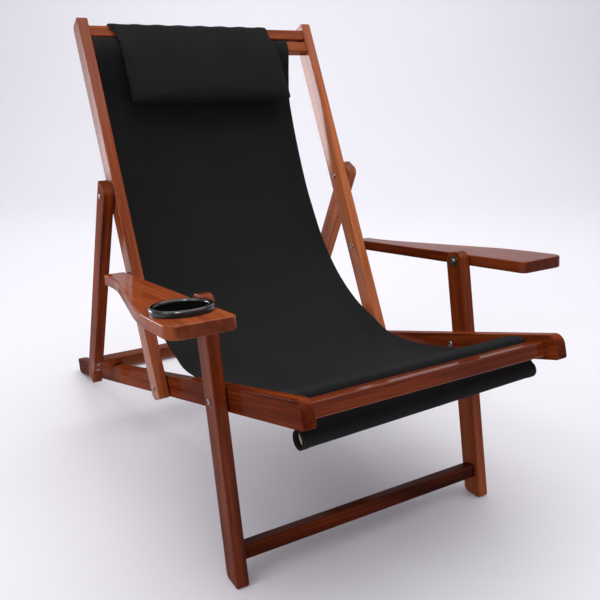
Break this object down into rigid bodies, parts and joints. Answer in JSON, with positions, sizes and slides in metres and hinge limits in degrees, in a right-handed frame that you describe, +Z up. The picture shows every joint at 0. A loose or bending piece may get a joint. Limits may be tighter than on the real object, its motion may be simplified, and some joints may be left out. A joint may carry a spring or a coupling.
{
  "type": "folding beach chair",
  "caption": "Low wooden folding lounge chair with a slung cloth seat, head pillow, two shaped armrests, a round cup holder and a notched reclining prop.",
  "frame": {"origin": "on the floor, in the middle of the set-up chair's footprint", "axes": "+Z up; the sitter faces -Y; +X is the sitter's left and the cup holder is on the -X armrest"},
  "size_m": [0.764, 1.2704, 0.9228],
  "materials": {
    "stained_wood": "glossy red-brown stain and varnish over straight-grained hardwood",
    "pale_dowel": "bare pale wood",
    "sling_cloth": "charcoal plain-weave cloth",
    "black_plastic": "glossy black moulded plastic",
    "bright_steel": "bright plated steel"
  },
  "bodies": {
    "seat_frame": {"left_rail": "stained_wood", "right_rail": "stained_wood", "front_bar": "stained_wood", "sling_bar": "stained_wood", "rear_stretcher": "stained_wood", "front_dowel": "pale_dowel", "seat_sling": "sling_cloth", "leg_pivot_bolts": "bright_steel", "leg_pivot_nuts": "bright_steel", "back_pivot_bolts": "bright_steel", "back_pivot_nuts": "bright_steel", "rail_pivot_washers": "bright_steel"},
    "back_frame": {"left_upright": "stained_wood", "right_upright": "stained_wood", "upper_top_bar": "stained_wood", "lower_top_bar": "stained_wood", "top_dowel": "pale_dowel", "back_sling": "sling_cloth", "pillow": "sling_cloth", "prop_pivot_bolts": "bright_steel", "prop_pivot_nuts": "bright_steel", "prop_pivot_washers": "bright_steel"},
    "prop_frame": {"left_prop": "stained_wood", "right_prop": "stained_wood", "prop_crossbar": "stained_wood", "crossbar_screws": "bright_steel"},
    "leg_frame": {"left_leg": "stained_wood", "right_leg": "stained_wood", "leg_stretcher": "stained_wood"},
    "armrest_left": {"left_armrest": "stained_wood", "cup_holder": "black_plastic", "left_armrest_screws": "bright_steel", "left_armrest_inserts": "bright_steel", "left_armrest_washers": "bright_steel"},
    "armrest_right": {"right_armrest": "stained_wood", "right_armrest_screws": "bright_steel", "right_armrest_inserts": "bright_steel", "right_armrest_washers": "bright_steel"}
  },
  "joints": [
    {"name": "back_fold", "type": "hinge", "parent": "seat_frame", "child": "back_frame", "pos_m": [0, -0.10356, 0.22612], "axis": [-1, 0, 0], "range_deg": [0, 68]},
    {"name": "leg_fold", "type": "hinge", "parent": "seat_frame", "child": "leg_frame", "pos_m": [0, -0.3804, 0.3055], "axis": [-1, 0, 0], "range_deg": [0, 84.9]},
    {"name": "left_armrest_hinge", "type": "hinge", "parent": "back_frame", "child": "armrest_left", "pos_m": [0, -0.00576, 0.42486], "axis": [-1, 0, 0], "range_deg": [-60.3, 0]},
    {"name": "right_armrest_hinge", "type": "hinge", "parent": "back_frame", "child": "armrest_right", "pos_m": [0, -0.00576, 0.42486], "axis": [-1, 0, 0], "range_deg": [-60.3, 0]},
    {"name": "prop_fold", "type": "hinge", "parent": "back_frame", "child": "prop_frame", "pos_m": [0, 0.0704, 0.57964], "axis": [-1, 0, 0], "range_deg": [-116, 0]}
  ],
  "couplings": [
    {"joint": "leg_fold", "follows": "back_fold", "ratio": 1.247},
    {"joint": "left_armrest_hinge", "follows": "back_fold", "ratio": -0.8848},
    {"joint": "right_armrest_hinge", "follows": "back_fold", "ratio": -0.8848},
    {"joint": "prop_fold", "follows": "back_fold", "ratio": -1.705}
  ]
}
